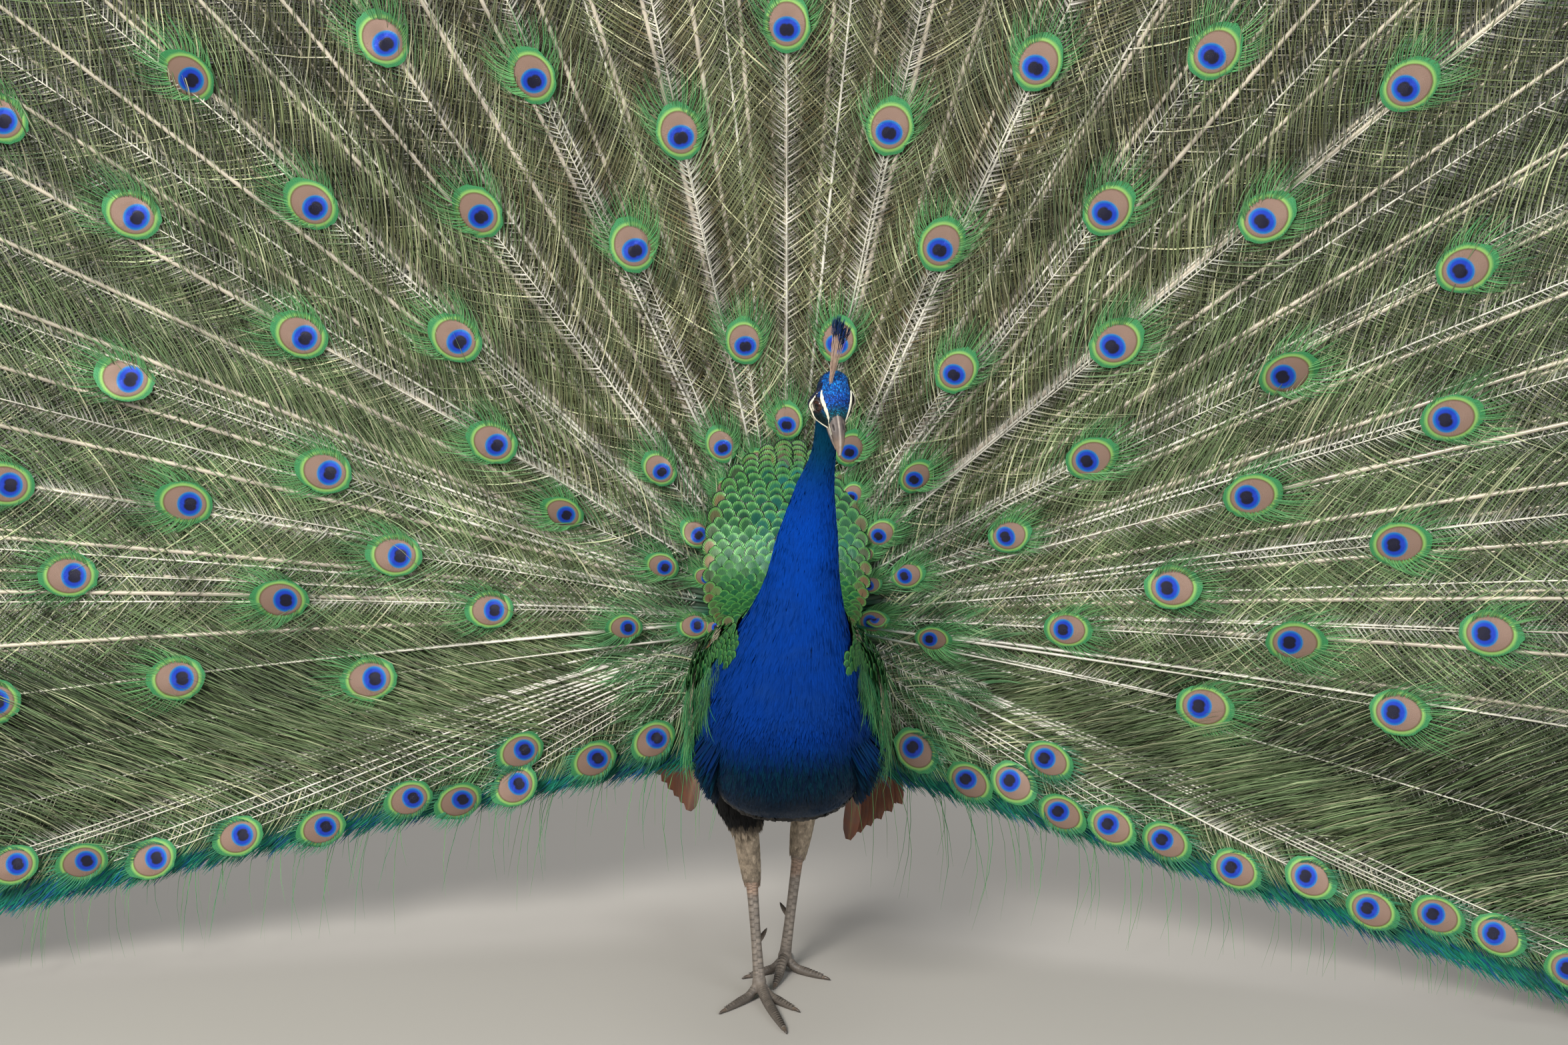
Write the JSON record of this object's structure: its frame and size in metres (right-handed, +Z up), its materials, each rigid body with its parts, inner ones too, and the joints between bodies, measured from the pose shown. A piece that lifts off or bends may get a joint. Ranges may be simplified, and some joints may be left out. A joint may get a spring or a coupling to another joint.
{
  "type": "displaying peacock",
  "caption": "Life-size standing male peafowl with its train raised in a full fan, blue neck and breast, crest, wings and legs.",
  "frame": {"origin": "on the floor under the middle of the whole bird", "axes": "+X to the bird's left, -Y the way it faces, +Z up"},
  "size_m": [2.466, 0.4832, 1.67],
  "materials": {
    "blue_plumage": "satin",
    "trunk_plumage": "satin",
    "undertail_plumage": "matte",
    "bill_horn": "satin",
    "eye": "gloss",
    "crest_plumage": "satin",
    "saddle_scales": "satin",
    "wing_plumage": "matte",
    "primary_plumage": "matte",
    "train": "satin",
    "train_edge": "satin",
    "tail_plumage": "matte",
    "thigh_plumage": "matte",
    "shank_plumage": "matte",
    "leg_scales": "matte",
    "claw_horn": "satin"
  },
  "bodies": {
    "root": {"head": "blue_plumage", "bill_upper": "bill_horn", "bill_lower": "bill_horn", "eye_right": "eye", "eye_left": "eye", "crest": "crest_plumage", "neck_upper": "blue_plumage", "neck_lower": "blue_plumage", "breast": "blue_plumage", "trunk": "trunk_plumage", "undertail": "undertail_plumage", "train_1": "train", "train_2": "train", "train_3": "train", "train_4": "train", "train_5": "train", "train_6": "train", "train_7": "train", "train_8": "train", "train_9": "train", "train_edge_right": "train_edge", "train_edge_left": "train_edge", "tail_right": "tail_plumage", "tail_left": "tail_plumage", "saddle": "saddle_scales", "wing_right": "wing_plumage", "primaries_right": "primary_plumage", "wing_left": "wing_plumage", "primaries_left": "primary_plumage", "thigh_right": "thigh_plumage", "shank_right": "shank_plumage", "tarsus_right": "leg_scales", "foot_right": "leg_scales", "spur_right": "claw_horn", "claw_outer_right": "claw_horn", "claw_middle_right": "claw_horn", "claw_inner_right": "claw_horn", "claw_hind_right": "claw_horn", "thigh_left": "thigh_plumage", "shank_left": "shank_plumage", "tarsus_left": "leg_scales", "foot_left": "leg_scales", "spur_left": "claw_horn", "claw_outer_left": "claw_horn", "claw_middle_left": "claw_horn", "claw_inner_left": "claw_horn", "claw_hind_left": "claw_horn"}
  },
  "joints": []
}
